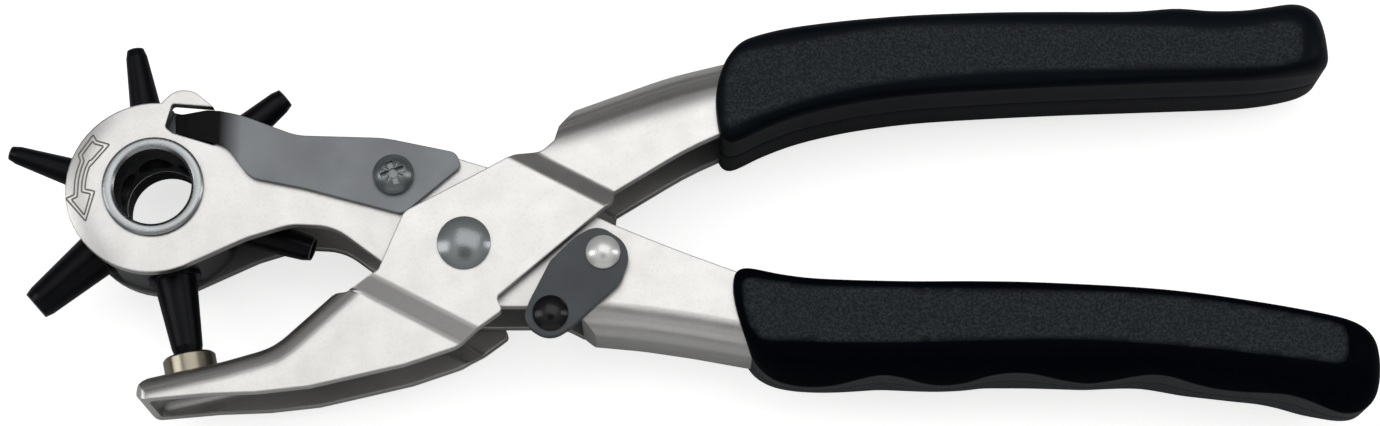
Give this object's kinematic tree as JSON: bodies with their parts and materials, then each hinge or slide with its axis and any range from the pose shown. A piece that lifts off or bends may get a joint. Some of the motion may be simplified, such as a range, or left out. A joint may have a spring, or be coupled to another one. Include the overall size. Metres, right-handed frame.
{
  "type": "rotary hole punch pliers",
  "caption": "Revolving punch pliers: two folded steel levers crossed on a rivet, a turret of conical punch tubes facing a soft anvil, index spring, swing latch and moulded grips.",
  "frame": {"origin": "centre of the turret's open bore, half way through the tool's thickness", "axes": "+X runs from the turret along the handles, +Z along the turret and pivot axes towards the side with the index spring, +Y towards the upper handle"},
  "size_m": [0.2192, 0.0671, 0.0246],
  "materials": {
    "lever_steel": "satin nickel plate on pressed sheet",
    "bush_steel": "zinc plated, turned",
    "rivet_steel": "zinc plated, domed",
    "bright_rivet": "polished dome",
    "grey_steel": "phosphated, satin",
    "black_steel": "blackened, semi-gloss",
    "drum_steel": "phosphated, satin",
    "anvil_brass": "dull soft brass",
    "spring_steel": "oiled spring wire",
    "grip_vinyl": "soft vinyl, fine grain on the faces, smooth sides"
  },
  "bodies": {
    "turret_lever": {"turret_lever_frame": "lever_steel", "lower_grip": "grip_vinyl", "turret_bush_front": "bush_steel", "turret_bush_rear": "bush_steel", "index_spring": "grey_steel", "index_spring_screw": "black_steel", "neck_spacer": "spring_steel", "opening_spring": "spring_steel", "pivot_sleeve": "rivet_steel", "lock_lever_rivet": "bright_rivet"},
    "anvil_lever": {"anvil_lever_frame": "lever_steel", "upper_grip": "grip_vinyl", "anvil": "anvil_brass", "pivot_rivet": "rivet_steel"},
    "turret": {"turret_drum": "drum_steel", "punch_tube_2_0": "black_steel", "punch_tube_2_5": "black_steel", "punch_tube_3_0": "black_steel", "punch_tube_3_5": "black_steel", "punch_tube_4_0": "black_steel", "punch_tube_4_5": "black_steel"},
    "lock_lever": {"lock_plate": "grey_steel", "lock_pin": "black_steel"}
  },
  "joints": [
    {"name": "jaw_pivot", "type": "hinge", "parent": "turret_lever", "child": "anvil_lever", "pos_m": [0.0496, -0.0097, 0], "axis": [0, 0, 1], "range_deg": [0, 17]},
    {"name": "turret_spin", "type": "hinge", "parent": "turret_lever", "child": "turret", "pos_m": [0, 0, 0], "axis": [0, 0, 1], "continuous": true, "deforming": ["index_spring"]},
    {"name": "lock_lever_swing", "type": "hinge", "parent": "turret_lever", "child": "lock_lever", "pos_m": [0.07145, -0.0111, 0], "axis": [0, 0, 1], "range_deg": [0, 15]}
  ]
}
